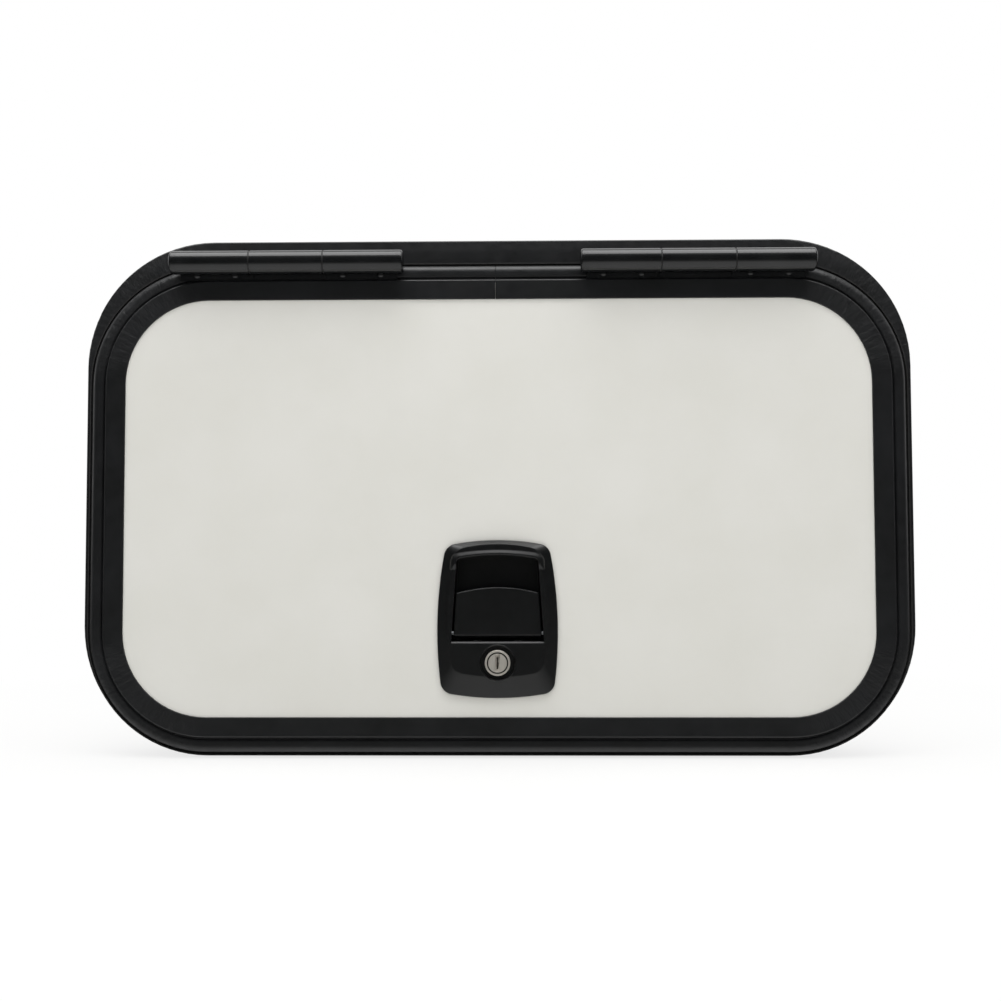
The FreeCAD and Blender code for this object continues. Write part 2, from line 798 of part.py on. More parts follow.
def box_outline(grow, y):
    # The pocket behind the bezel is as wide as the recess and its walls, and runs on past it
    # to hold the key cylinder.
    low_half = recess_bottom_half_width + box_wall + grow
    high_half = recess_top_half_width + box_wall + grow
    top = box_top + grow
    bottom = lock_z - box_bottom - grow
    corners = [
        (-low_half, bottom, box_corner_radius + grow),
        (low_half, bottom, box_corner_radius + grow),
        (low_half, recess_bottom, box_waist_radius),
        (high_half, top, box_shoulder_radius + grow),
        (-high_half, top, box_shoulder_radius + grow),
        (-low_half, recess_bottom, box_waist_radius),
    ]
    return rounded_outline(corners, front_point(y))


def post_places():
    places = (upper_post_place, lower_post_place)
    return [(side * x, lock_z + height) for side in (-1, 1) for x, height in places]


def lock_bezel():
    # The flange that shows: an upright rim, then a face that falls away to the sides and most
    # of all to the bottom, which leaves a soft crease towards each lower corner.
    rim_front = bezel_back - bezel_edge_height
    rim = slab(bezel_outline(0, 0, 0, bezel_corner_radius, rim_front), bezel_edge_height)
    insets = (bezel_face_inset_side, bezel_face_inset_top, bezel_face_inset_bottom)
    base = bezel_outline(0, 0, 0, bezel_corner_radius, rim_front)
    crown = bezel_outline(insets[0], insets[1], insets[2], bezel_corner_radius, bezel_front)
    return rim.fuse(Part.makeLoft([base, crown], True, True))


def recess_hood():
    # A raised roll over the top of the hand recess that fades out down its sides.
    base = recess_outline(hood_width, bezel_front + 0.5)
    crest = recess_outline(hood_width - hood_slope, bezel_front - hood_height)
    roll = Part.makeLoft([base, crest], True, True)
    side = recess_top_half_width + hood_width + 5
    fade_top = recess_top + hood_width + 1
    fade_start = recess_top - recess_corner_radius
    fade_end = fade_start - hood_length
    profile = [
        Vector(-side, bezel_front + 1, fade_end),
        Vector(-side, bezel_front, fade_end),
        Vector(-side, bezel_front - hood_height - 1, fade_start),
        Vector(-side, bezel_front - hood_height - 1, fade_top),
        Vector(-side, bezel_front + 1, fade_top),
    ]
    wedge = Part.Face(Part.makePolygon(profile + profile[:1])).extrude(Vector(2 * side, 0, 0))
    return roll.common(wedge)


def lock_housing():
    # One moulding: bezel, hand recess, cylinder boss, screw posts and the rails of the bolt.
    back_box = slab(box_outline(0, bezel_back - 0.5), box_back_y - bezel_back + 0.5)
    solids = [back_box, recess_hood()]
    for x, z in post_places():
        solids.append(rod_along_y(post_radius, bezel_back - 0.5, panel_back - post_short_fall, x, z))
    body = lock_bezel().multiFuse(solids)
    recess = slab(recess_outline(0, bezel_front - hood_height - 1), box_floor_y - bezel_front + hood_height + 1)
    body = body.cut([recess, recess_sill(), lower_hollow()])
    cup_radius = cylinder_recess_radius + cylinder_cup_wall
    body = body.fuse(rod_along_y(cup_radius, bezel_front + 1, cylinder_seat_end, 0, cylinder_z))
    body = body.multiFuse(bolt_rails()).removeSplitter()
    cuts = [
        rod_along_y(cylinder_recess_radius, bezel_front - 2, cylinder_floor, 0, cylinder_z),
        cylinder_rim(),
        rod_along_y(cylinder_body_radius + cylinder_body_clearance, bezel_front, box_back_y + 1, 0, cylinder_z),
        rod_along_x(paddle_pin_radius, -paddle_pin_half(), paddle_pin_half(), pivot_y, pivot_z),
    ]
    for x, z in post_places():
        hole_end = panel_back - post_short_fall + 1
        cuts.append(rod_along_y(clamp_screw_radius, hole_end - clamp_screw_length - 1, hole_end, x, z))
    return body.cut(cuts + lever_slots())


def recess_sill():
    # The wedge that is cut off the edge below the paddle.
    past = 0.2
    low = recess_bottom - recess_sill_bevel - past
    back = bezel_front + recess_sill_bevel + past
    start = -recess_bottom_half_width
    corners = [
        Vector(start, bezel_front - past, recess_bottom + past),
        Vector(start, bezel_front - past, low),
        Vector(start, back, recess_bottom + past),
    ]
    return Part.Face(Part.makePolygon(corners + corners[:1])).extrude(Vector(2 * recess_bottom_half_width, 0, 0))


def cylinder_rim():
    # The cone that is cut off the edge of the hollow round the cylinder.
    past = 0.2
    wide = cylinder_recess_radius + cylinder_recess_bevel + past
    start = Vector(0, bezel_front - past, cylinder_z)
    length = cylinder_recess_bevel + 2 * past
    return Part.makeCone(wide, wide - length, length, start, Vector(0, 1, 0))


def lower_hollow():
    # The space behind the lower face, open at the back, that the cylinder stands in.
    half = recess_bottom_half_width
    bottom = lock_z - box_bottom + box_wall
    top = recess_bottom - box_wall
    radius = box_corner_radius - box_wall
    start = bezel_front + lower_face_thickness + 1.5
    corners = [(-half, bottom, radius), (half, bottom, radius), (half, top, 0), (-half, top, 0)]
    return slab(rounded_outline(corners, front_point(start)), box_back_y - start + 1)


def lever_slots():
    # Two slots in the floor of the recess, as tall as the paddle's levers swing.
    slots = []
    half = lever_width / 2 + lever_side_clearance
    reach = box_back_y - pivot_y
    top = pivot_z + reach * lever_slope + lever_half_height + lever_tilt_rise + lever_side_clearance
    bottom = pivot_z - lever_half_height - lever_side_clearance
    for side in (-1, 1):
        x = side * lever_centre_x
        slots.append(block((x - half, x + half), (box_floor_y - 1, box_back_y + 1), (bottom, top)))
    return slots


def bolt_rails():
    # Two L-shaped rails that the bolt slides between, and the stop that its spring pushes on.
    low = pivot_z - rail_below
    high = pivot_z + rail_above
    inner = bolt_half_width + rail_side_clearance
    lip_start = bolt_back + bolt_gap
    lip_end = lip_start + rail_lip_thickness
    rails = []
    for side in (-1, 1):
        wall = sorted((side * inner, side * (inner + rail_thickness)))
        lip = sorted((side * (inner - rail_lip), side * (inner + rail_thickness)))
        rails.append(block(wall, (box_back_y - 0.5, lip_end), (low, high)))
        rails.append(block(lip, (lip_start, lip_end), (low, high)))
    stop_bottom = spring_seat() + spring_length
    stop_end = bolt_front + spring_tab_depth
    tab = (-spring_tab_half_width, spring_tab_half_width)
    rails.append(block(tab, (box_back_y - 0.5, stop_end), (stop_bottom, stop_bottom + spring_tab_thickness)))
    return rails


def spring_seat():
    return pivot_z + bolt_bridge_top


def lock_gasket():
    y = panel_front - gasket_thickness
    radius = bezel_corner_radius - gasket_inset
    ring = slab(bezel_outline(gasket_inset, gasket_inset, gasket_inset, radius, y), gasket_thickness)
    return ring.cut(lock_cut_out(y - 1, gasket_thickness + 2))


def paddle_outline(drop):
    # The outline of the pull plate. With a drop, its top edge lies that much lower and its
    # sides stand a little further out.
    top = lock_top - paddle_top_drop - drop
    shoulder = top - paddle_arch
    grow = -paddle_gap if drop == 0 else paddle_gap
    top_half = recess_half_width(shoulder) + grow
    bottom_half = recess_half_width(paddle_bottom) + grow
    sides = (top_half, (top_half + bottom_half) / 2, bottom_half, (shoulder + paddle_bottom) / 2)
    return arched_outline(sides, top, paddle_bottom, (paddle_arch, 0), (0, 0), paddle_front)


def lock_paddle():
    # The pull plate with a bowed top edge, its hub on the pin and two levers to the bolt.
    face = paddle_outline(0)
    plate = slab(face, paddle_thickness)
    lip = slab(face, paddle_lip_depth).cut(slab(paddle_outline(paddle_lip_height), paddle_lip_depth))
    hub_half = recess_half_width(pivot_z) - paddle_gap - 1
    hub = rod_along_x(paddle_hub_radius, -hub_half, hub_half, pivot_y, pivot_z)
    low = pivot_z - lever_half_height
    high = pivot_z + lever_half_height
    levers = []
    for side in (-1, 1):
        x = side * lever_centre_x
        across = (x - lever_width / 2, x + lever_width / 2)
        levers.append(block(across, (pivot_y, pivot_y + lever_length), (low, high)))
    pull = plate.fuse(lip).removeSplitter()
    rim = [edge for edge in pull.Edges if edge.BoundBox.YMax < paddle_front + 1e-6]
    body = pull.makeFillet(paddle_edge_radius, rim).multiFuse([hub] + levers).removeSplitter()
    bore_radius = paddle_pin_radius + paddle_pin_clearance
    return body.cut(rod_along_x(bore_radius, -paddle_pin_half(), paddle_pin_half(), pivot_y, pivot_z))


def paddle_pin_half():
    return recess_half_width(pivot_z) + box_wall - 0.5


def paddle_pin():
    return rod_along_x(paddle_pin_radius, -paddle_pin_half(), paddle_pin_half(), pivot_y, pivot_z)


def latch_bolt():
    # A forked plate: the bridge rides in the rails, each leg passes beside the cylinder and
    # ends in a bevelled tip behind the striker.
    half = bolt_half_width
    fork = bolt_fork_half_width
    top = pivot_z + bolt_bridge_top
    bridge_low = pivot_z - bolt_bridge_bottom
    corners = [
        (-half, bolt_tip, 0),
        (-fork, bolt_tip, 0),
        (-fork, bridge_low, 2),
        (fork, bridge_low, 2),
        (fork, bolt_tip, 0),
        (half, bolt_tip, 0),
        (half, top, 1),
        (-half, top, 1),
    ]
    plate = slab(rounded_outline(corners, front_point(bolt_front)), bolt_thickness)
    tab_side = (-spring_tab_half_width, spring_tab_half_width)
    tab = block(tab_side, (bolt_front, bolt_front + spring_tab_depth), (top - spring_tab_thickness, top))
    cuts = []
    window_half = lever_width / 2 + lever_side_clearance
    reach = bolt_front - pivot_y
    fall = bolt_travel + lever_lift_gap - reach * lever_slope + lever_half_height + lever_tilt_rise
    window_top = pivot_z + lever_half_height + lever_lift_gap
    window_bottom = pivot_z - max(fall, lever_half_height) - lever_side_clearance
    for side in (-1, 1):
        x = side * lever_centre_x
        cuts.append(block((x - window_half, x + window_half), (bolt_front - 1, bolt_back + 1), (window_bottom, window_top)))
    bevel = [
        Vector(-half - 1, bolt_back, bolt_tip + bolt_tip_bevel),
        Vector(-half - 1, bolt_front + 0.5, bolt_tip),
        Vector(-half - 1, bolt_front + 0.5, bolt_tip - 1),
        Vector(-half - 1, bolt_back + 1, bolt_tip - 1),
        Vector(-half - 1, bolt_back + 1, bolt_tip + bolt_tip_bevel),
    ]
    cuts.append(Part.Face(Part.makePolygon(bevel + bevel[:1])).extrude(Vector(2 * half + 2, 0, 0)))
    return plate.fuse(tab).removeSplitter().cut(cuts)


def latch_spring():
    # A compression spring between the bolt's tab and the stop on the housing.
    low = spring_seat() + spring_wire_radius
    rise = spring_length - 2 * spring_wire_radius
    centre_y = bolt_front + spring_tab_depth / 2
    helix = Part.makeHelix(rise / spring_turns, rise, spring_radius)
    helix.translate(Vector(0, centre_y, low))
    circle = Part.makeCircle(spring_wire_radius, Vector(spring_radius, centre_y, low), Vector(0, 1, 0))
    return Part.Wire(helix).makePipeShell([Part.Wire([circle])], True, True)


def lock_cylinder():
    # The barrel of the key cylinder: a round head in the recess and a threaded body behind it.
    front = cylinder_floor - cylinder_head_height
    head = rod_along_y(cylinder_head_radius, front, cylinder_floor, 0, cylinder_z)
    rim = [edge for edge in head.Edges if edge.BoundBox.YMax < front + 1e-6]
    head = head.makeFillet(cylinder_head_round, rim)
    body = rod_along_y(cylinder_body_radius, cylinder_floor, cylinder_body_end, 0, cylinder_z)
    bore = rod_along_y(plug_radius + plug_clearance, front - 1, cylinder_body_end + 1, 0, cylinder_z)
    groove_radius = plug_radius + plug_clearance + cylinder_groove_width
    groove = rod_along_y(groove_radius, front - 1, front + cylinder_groove_depth, 0, cylinder_z)
    return head.fuse(body).removeSplitter().cut([bore, groove])


def key_plug():
    # The turning core: a wide shallow slot with the narrow keyway in it, and a square tail.
    front = cylinder_floor - cylinder_head_height + plug_set_back
    core = rod_along_y(plug_radius, front, cylinder_body_end, 0, cylinder_z)
    tail_end = cam_front + cam_thickness
    tail_side = (-plug_tail_half, plug_tail_half)
    tail_up = (cylinder_z - plug_tail_half, cylinder_z + plug_tail_half)
    tail = block(tail_side, (cylinder_body_end - 1, tail_end), tail_up)
    collar = rod_along_y(plug_radius - 0.6, cylinder_body_end, cam_front, 0, cylinder_z)
    slot = centred_block(key_slot_width, (front - 1, front + key_slot_depth), key_slot_height)
    keyway = centred_block(keyway_width, (front - 1, front + keyway_depth), keyway_height)
    screw_hole = rod_along_y(cam_screw_shank_radius, tail_end - cam_screw_shank_length, tail_end + 1, 0, cylinder_z)
    return core.multiFuse([tail, collar]).removeSplitter().cut([slot, keyway, screw_hole])


def centred_block(width, y_range, height):
    return block((-width / 2, width / 2), y_range, (cylinder_z - height / 2, cylinder_z + height / 2))


def lock_cam():
    # A flat tongue on the square tail. It lies sideways while the lock is open.
    round_end = rod_along_y(cam_half_width + 2, cam_front, cam_front + cam_thickness, 0, cylinder_z)
    tongue_up = (cylinder_z - cam_half_width, cylinder_z + cam_half_width)
    tongue = block((0, cam_length - cam_half_width), (cam_front, cam_front + cam_thickness), tongue_up)
    tip = rod_along_y(cam_half_width, cam_front, cam_front + cam_thickness, cam_length - cam_half_width, cylinder_z)
    hole = centred_block(2 * plug_tail_half, (cam_front - 1, cam_front + cam_thickness + 1), 2 * plug_tail_half)
    return round_end.multiFuse([tongue, tip]).removeSplitter().cut(hole)


def cam_screw():
    face = cam_front + cam_thickness
    head = rod_along_y(cam_screw_radius, face, face + cam_screw_height, 0, cylinder_z)
    shank = rod_along_y(cam_screw_shank_radius, face - cam_screw_shank_length, face, 0, cylinder_z)
    return head.fuse(shank).removeSplitter()


def cylinder_nut():
    # A six-sided nut that draws the cylinder back against the floor of its recess.
    start = cylinder_seat_end
    corner = cylinder_nut_across / math.sqrt(3)
    points = []
    for step in range(7):
        angle = math.radians(60 * step + 30)
        points.append(Vector(corner * math.cos(angle), start, cylinder_z + corner * math.sin(angle)))
    nut = Part.Face(Part.makePolygon(points)).extrude(Vector(0, cylinder_nut_thickness, 0))
    return nut.cut(rod_along_y(cylinder_body_radius, start - 1, start + cylinder_nut_thickness + 1, 0, cylinder_z))


def lock_clamp_plate():
    # A flat steel ring behind the panel that the four screws pull towards the bezel.
    outer = rounded_rectangle(clamp_width, clamp_height, clamp_corner_radius, lock_z, panel_back)
    inner = slab(box_outline(clamp_clearance, panel_back - 1), clamp_thickness + 2)
    hole_radius = clamp_screw_radius + clamp_hole_clearance
    holes = [rod_along_y(hole_radius, panel_back - 1, clamp_back + 1, x, z) for x, z in post_places()]
    return slab(outer, clamp_thickness).cut([inner] + holes)


def lock_clamp_screws():
    screws = []
    for x, z in post_places():
        head_end = clamp_back + clamp_screw_head_height
        head = rod_along_y(clamp_screw_head_radius, clamp_back, head_end, x, z)
        shank = rod_along_y(clamp_screw_radius, clamp_back - clamp_screw_length, clamp_back, x, z)
        screws.append(head.fuse(shank).removeSplitter())
    return Part.makeCompound(screws)


os.makedirs("parts", exist_ok=True)
save("wall_frame", wall_frame())
save("striker", striker())
save("striker_screws", striker_screws())
save("door_trim", door_trim())
save("door_seal", door_seal())
save("outer_skin", outer_skin())
save("panel_core", panel_core())
save("inner_skin", inner_skin())
for hinge, centre in hinge_centres.items():
    save("hinge_frame_leaf_" + hinge, hinge_frame_leaf(centre))
    save("hinge_door_leaf_" + hinge, hinge_door_leaf(centre))
    save("hinge_pin_" + hinge, hinge_pin(centre))
    for end, side in (("a", -1), ("b", 1)):
        save("hinge_washer_" + hinge + "_" + end, hinge_washer(centre, side))
        save("hinge_cap_" + hinge + "_" + end, hinge_cap(centre, side))
save("frame_leaf_rivets", frame_leaf_rivets())
save("door_leaf_rivets", door_leaf_rivets())
save("lock_housing", lock_housing())
save("lock_gasket", lock_gasket())
save("lock_paddle", lock_paddle())
save("paddle_pin", paddle_pin())
save("latch_bolt", latch_bolt())
save("latch_spring", latch_spring())
save("lock_cylinder", lock_cylinder())
save("key_plug", key_plug())
save("lock_cam", lock_cam())
save("cam_screw", cam_screw())
save("cylinder_nut", cylinder_nut())
save("lock_clamp_plate", lock_clamp_plate())
save("lock_clamp_screws", lock_clamp_screws())
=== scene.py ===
import json
import math

import bpy
import bmesh
from mathutils import Matrix, Vector


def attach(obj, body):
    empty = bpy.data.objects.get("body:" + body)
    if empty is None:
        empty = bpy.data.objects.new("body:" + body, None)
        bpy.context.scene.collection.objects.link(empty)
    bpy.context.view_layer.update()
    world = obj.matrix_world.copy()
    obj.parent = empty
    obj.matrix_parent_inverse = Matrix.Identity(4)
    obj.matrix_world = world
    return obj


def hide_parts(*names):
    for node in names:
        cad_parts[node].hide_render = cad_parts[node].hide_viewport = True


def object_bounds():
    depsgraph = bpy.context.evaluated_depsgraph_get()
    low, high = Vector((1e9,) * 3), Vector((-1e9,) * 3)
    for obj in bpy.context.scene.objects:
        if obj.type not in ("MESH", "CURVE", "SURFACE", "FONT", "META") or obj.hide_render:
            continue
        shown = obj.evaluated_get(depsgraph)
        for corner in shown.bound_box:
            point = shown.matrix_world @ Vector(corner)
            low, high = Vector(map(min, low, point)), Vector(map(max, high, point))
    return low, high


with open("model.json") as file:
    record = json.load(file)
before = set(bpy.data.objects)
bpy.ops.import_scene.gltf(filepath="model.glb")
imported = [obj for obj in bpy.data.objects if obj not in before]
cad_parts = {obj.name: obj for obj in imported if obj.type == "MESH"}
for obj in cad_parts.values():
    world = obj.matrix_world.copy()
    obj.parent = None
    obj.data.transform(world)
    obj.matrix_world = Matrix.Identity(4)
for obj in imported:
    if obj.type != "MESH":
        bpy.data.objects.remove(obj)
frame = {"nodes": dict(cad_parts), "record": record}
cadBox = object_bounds()
nodes = frame["nodes"]
millimetre = 0.001
print("frame loaded:", len(nodes), "nodes")


def boxesOf(name):
    # low and high corner of each separate solid of a node, in millimetres, from the top down
    # and from left to right
    work = bmesh.new()
    work.from_mesh(nodes[name].data)
    work.transform(nodes[name].matrix_world)
    bmesh.ops.remove_doubles(work, verts=work.verts, dist=0.001 * millimetre)
    waiting = set(work.verts)
    boxes = []
    while waiting:
        reached = [waiting.pop()]
        for corner in reached:
            for edge in corner.link_edges:
                other = edge.other_vert(corner)
                if other in waiting:
                    waiting.remove(other)
                    reached.append(other)
        places = [corner.co / millimetre for corner in reached]
        boxes.append([[pick(place[axis] for place in places) for axis in range(3)] for pick in (min, max)])
    work.free()
    return sorted(boxes, key=lambda box: (-round(box[1][2]), box[0][0]))


def middleOf(box):
    # to 0.01 mm, because facets leave a round solid's box a little off its axis
    return [round((low + high) / 2, 2) for low, high in zip(*box)]


skinBox = boxesOf("outer_skin")[0]
cylinderMiddle = middleOf(boxesOf("lock_cylinder")[0])
housingFront = boxesOf("lock_housing")[0][0][1]


# Colours and shader nodes
def toLinear(hexColour):
    channels = [int(hexColour[i:i + 2], 16) / 255 for i in (1, 3, 5)]
    return tuple(c / 12.92 if c <= 0.04045 else ((c + 0.055) / 1.055) ** 2.4 for c in channels) + (1.0,)


def addNode(tree, kind, settings=None, links=None):
    # a setting named like an input goes to that socket and any other to the node itself,
    # and a link from a node takes its first output
    node = tree.nodes.new(kind)
    for name, value in (settings or {}).items():
        if isinstance(name, int) or name in node.inputs.keys():
            node.inputs[name].default_value = value
        else:
            setattr(node, name, value)
    for name, source in (links or {}).items():
        socket = source.outputs[0] if isinstance(source, bpy.types.Node) else source
        tree.links.new(socket, node.inputs[name])
    return node


def newMaterial(name):
    # the place on the part comes in metres, from the frame's own origin
    material = bpy.data.materials.new(name)
    material.use_nodes = True
    tree = material.node_tree
    tree.nodes.clear()
    return material, tree, addNode(tree, "ShaderNodeTexCoord").outputs["Object"]


def perMetre(sizeInMillimetres):
    return 1.0 / (sizeInMillimetres * millimetre)


def twoColours(first, second):
    return {"data_type": "RGBA", 6: toLinear(first), 7: toLinear(second)}


def stretched(low, high):
    # noise mostly lies between 0.3 and 0.7, which is stretched to the whole range
    return {"From Min": 0.3, "From Max": 0.7, "To Min": low, "To Max": high}


def drifting(tree, place, size, low, high, detail):
    # a value that drifts between low and high over patches of so many millimetres
    patches = addNode(tree, "ShaderNodeTexNoise", {"Scale": perMetre(size), "Detail": detail}, {"Vector": place})
    return addNode(tree, "ShaderNodeMapRange", stretched(low, high), {"Value": patches})


# Camera, studio and lamps
camera = {
    "place": (0.01001, -0.84510, -0.03672),
    "yaw": 0.0153,
    "pitch": 0.0465,
    "roll": 0.0022,
    "lens": 41.20,
    "sensor": 36.0,
    "shiftX": 0.0070,
    "shiftY": -0.0086,
    "nearest": 0.01,
}


def addCamera():
    data = bpy.data.cameras.new("camera")
    data.lens = camera["lens"]
    data.sensor_width = camera["sensor"]
    data.sensor_fit = "HORIZONTAL"
    data.shift_x = camera["shiftX"]
    data.shift_y = camera["shiftY"]
    data.clip_start = camera["nearest"]
    eye = bpy.data.objects.new("camera", data)
    level = Matrix.Rotation(math.radians(90), 4, "X")
    turn = Matrix.Rotation(camera["yaw"], 4, "Z") @ Matrix.Rotation(camera["pitch"], 4, "X")
    turn = turn @ Matrix.Rotation(camera["roll"], 4, "Y") @ level
    eye.matrix_world = Matrix.Translation(camera["place"]) @ turn
    bpy.context.scene.collection.objects.link(eye)
    bpy.context.scene.camera = eye


studio = {
    "floorGap": 0.0003,
    "floorHalfSize": 6.0,
    "floorColour": "#E4E4E2",
    "dimFloorColour": "#4A4A48",
    "shadowShare": 0.28,
    "shadowReach": (0.25, 0.75),
    "mirroredSteepness": (0.26, 0.85),
    "skyAbove": 1.0,
    "skyAboveRise": (0.5, 0.9),
    "skyFront": 0.055,
    "skyBehind": 1.0,
    "skyDepth": (-0.1, 0.22),
    "mirroredWhiteFrom": 0.2,
}


def floorPaper():
    # matte white studio paper
    material, tree, place = newMaterial("studio_floor_paper")
    distance = addNode(tree, "ShaderNodeVectorMath", {"operation": "LENGTH"}, {0: place}).outputs["Value"]
    path = addNode(tree, "ShaderNodeLightPath")
    # in reflections the paper is white from steeply above and dim at a low angle, so that
    # the black trim stays deep
    towardsEye = addNode(tree, "ShaderNodeNewGeometry").outputs["Incoming"]
    rise = addNode(tree, "ShaderNodeSeparateXYZ", None, {"Vector": towardsEye}).outputs["Z"]
    flat, upright = studio["mirroredSteepness"]
    steep = {"From Min": flat, "From Max": upright, "To Min": 0.0, "To Max": 1.0, "interpolation_type": "SMOOTHSTEP"}
    mirrored = addNode(tree, "ShaderNodeMapRange", steep, {"Value": rise})
    glossy = path.outputs["Is Glossy Ray"]
    mirroredWhite = addNode(tree, "ShaderNodeMath", {"operation": "MULTIPLY"}, {0: glossy, 1: mirrored})
    dimmed = addNode(tree, "ShaderNodeMath", {"operation": "SUBTRACT"}, {0: glossy, 1: mirroredWhite})
    whites = twoColours(studio["floorColour"], studio["dimFloorColour"])
    colour = addNode(tree, "ShaderNodeMix", whites, {0: dimmed}).outputs[2]
    paper = addNode(tree, "ShaderNodeBsdfDiffuse", None, {"Color": colour})
    # to the camera the paper is white, with a faint shadow near the part
    near, far = studio["shadowReach"]
    fade = {"From Min": near, "From Max": far, "To Min": studio["shadowShare"], "To Max": 0.0}
    share = addNode(tree, "ShaderNodeMapRange", fade, {"Value": distance})
    white = addNode(tree, "ShaderNodeEmission", {"Strength": 1.0})
    lit = addNode(tree, "ShaderNodeMixShader", None, {0: share, 1: white, 2: paper})
    seen = path.outputs["Is Camera Ray"]
    for also in (path.outputs["Is Transmission Ray"], mirroredWhite):
        seen = addNode(tree, "ShaderNodeMath", {"operation": "MAXIMUM"}, {0: seen, 1: also})
    shown = addNode(tree, "ShaderNodeMixShader", None, {0: seen, 1: paper, 2: lit})
    addNode(tree, "ShaderNodeOutputMaterial", None, {"Surface": shown})
    return material


def addFloor():
    low = cadBox[0][2] - studio["floorGap"]
    half = studio["floorHalfSize"]
    mesh = bpy.data.meshes.new("floor")
    corners = [(-half, -half, low), (half, -half, low), (half, half, low), (-half, half, low)]
    mesh.from_pydata(corners, [], [(0, 1, 2, 3)])
    mesh.materials.append(floorPaper())
    floor = bpy.data.objects.new("floor", mesh)
    bpy.context.scene.collection.objects.link(floor)


def addSky():
    world = bpy.data.worlds.new("studio")
    world.use_nodes = True
    bpy.context.scene.world = world
    tree = world.node_tree
    tree.nodes.clear()
    direction = addNode(tree, "ShaderNodeTexCoord").outputs["Generated"]
    parts = addNode(tree, "ShaderNodeSeparateXYZ", None, {"Vector": direction})
    depth, rise = parts.outputs["Y"], parts.outputs["Z"]
    # dark in front and at the sides, light overhead and behind
    near, far = studio["skyDepth"]
    toBack = {"From Min": near, "From Max": far, "To Min": studio["skyFront"], "To Max": studio["skyBehind"]}
    byDepth = addNode(tree, "ShaderNodeMapRange", toBack, {"Value": depth})
    low, high = studio["skyAboveRise"]
    toTop = {"From Min": low, "From Max": high, "To Min": 0.0, "To Max": 1.0}
    height = addNode(tree, "ShaderNodeMapRange", toTop, {"Value": rise})
    light = addNode(tree, "ShaderNodeMix", {"data_type": "FLOAT", 3: studio["skyAbove"]}, {0: height, 2: byDepth})
    glow = addNode(tree, "ShaderNodeBackground", None, {"Strength": light})
    white = addNode(tree, "ShaderNodeBackground", {"Color": (1, 1, 1, 1), "Strength": 1.0})
    # the eye and glass see white all round, and polished faces see it behind the part
    path = addNode(tree, "ShaderNodeLightPath")
    farOff = {"operation": "GREATER_THAN", 1: studio["mirroredWhiteFrom"]}
    behind = addNode(tree, "ShaderNodeMath", farOff, {0: depth})
    glossy = path.outputs["Is Glossy Ray"]
    mirrored = addNode(tree, "ShaderNodeMath", {"operation": "MULTIPLY"}, {0: glossy, 1: behind})
    seen = path.outputs["Is Camera Ray"]
    for also in (path.outputs["Is Transmission Ray"], mirrored):
        seen = addNode(tree, "ShaderNodeMath", {"operation": "MAXIMUM"}, {0: seen, 1: also})
    both = addNode(tree, "ShaderNodeMixShader", None, {0: seen, 1: glow, 2: white})
    addNode(tree, "ShaderNodeOutputWorld", None, {"Surface": both})


lamps = [
    {
        "name": "overhead_softbox",
        "place": (0.0, -0.30, 1.25),
        "aim": (0.0, 0.0, 0.0),
        "size": (1.7, 0.9),
        "power": 19.0,
        "mirrored": True,
    },
    {
        "name": "front_fill",
        "place": (0.0, -2.6, 1.1),
        "aim": (0.0, 0.0, 0.0),
        "size": (2.2, 1.4),
        "power": 24.3,
        "mirrored": False,  # it only lights, and the black parts don't show it
    },
]


def addLamps():
    for lamp in lamps:
        data = bpy.data.lights.new(lamp["name"], "AREA")
        data.shape = "RECTANGLE"
        data.size, data.size_y = lamp["size"]
        data.energy = lamp["power"]
        light = bpy.data.objects.new(lamp["name"], data)
        light.location = lamp["place"]
        towards = Vector(lamp["aim"]) - Vector(lamp["place"])
        light.rotation_euler = towards.to_track_quat("-Z", "Y").to_euler()
        light.visible_camera = False
        light.visible_glossy = lamp["mirrored"]
        bpy.context.scene.collection.objects.link(light)


addCamera()
addFloor()
addSky()
addLamps()
scene = bpy.context.scene
scene.view_settings.view_transform = "Standard"
print("camera, floor and lamps placed")


# Finishes: sizes, depths and places are in millimetres
edgeSamples = 6


def patchySurface(tree, place, finish):
    # patches of two colours, a drifting roughness and fine bumps, each with a size of its own
    patches = drifting(tree, place, finish["patchSize"], 0.0, 1.0, finish["patchDetail"])
    colour = addNode(tree, "ShaderNodeMix", twoColours(*finish["colours"]), {0: patches}).outputs[2]
    rough = drifting(tree, place, finish["wearSize"], *finish["roughness"], finish["wearDetail"])
    fine = {"Scale": perMetre(finish["grainSize"]), "Detail": finish["grainDetail"]}
    heights = {"Height": addNode(tree, "ShaderNodeTexNoise", fine, {"Vector": place})}
    if finish["edgeRadius"]:
        # sharp edges of the solids shade as if rounded
        soft = {"samples": edgeSamples, "Radius": finish["edgeRadius"] * millimetre}
        heights["Normal"] = addNode(tree, "ShaderNodeBevel", soft)
    normal = addNode(tree, "ShaderNodeBump", {"Distance": finish["grainDepth"] * millimetre}, heights)
    return {"Base Color": colour, "Roughness": rough, "Normal": normal}


def closeMaterial(tree, settings, surface):
    shader = addNode(tree, "ShaderNodeBsdfPrincipled", settings, surface)
    addNode(tree, "ShaderNodeOutputMaterial", None, {"Surface": shader})


def patchyMaterial(finish):
    material, tree, place = newMaterial(finish["name"])
    closeMaterial(tree, {"IOR": finish["ior"]}, patchySurface(tree, place, finish))
    return material


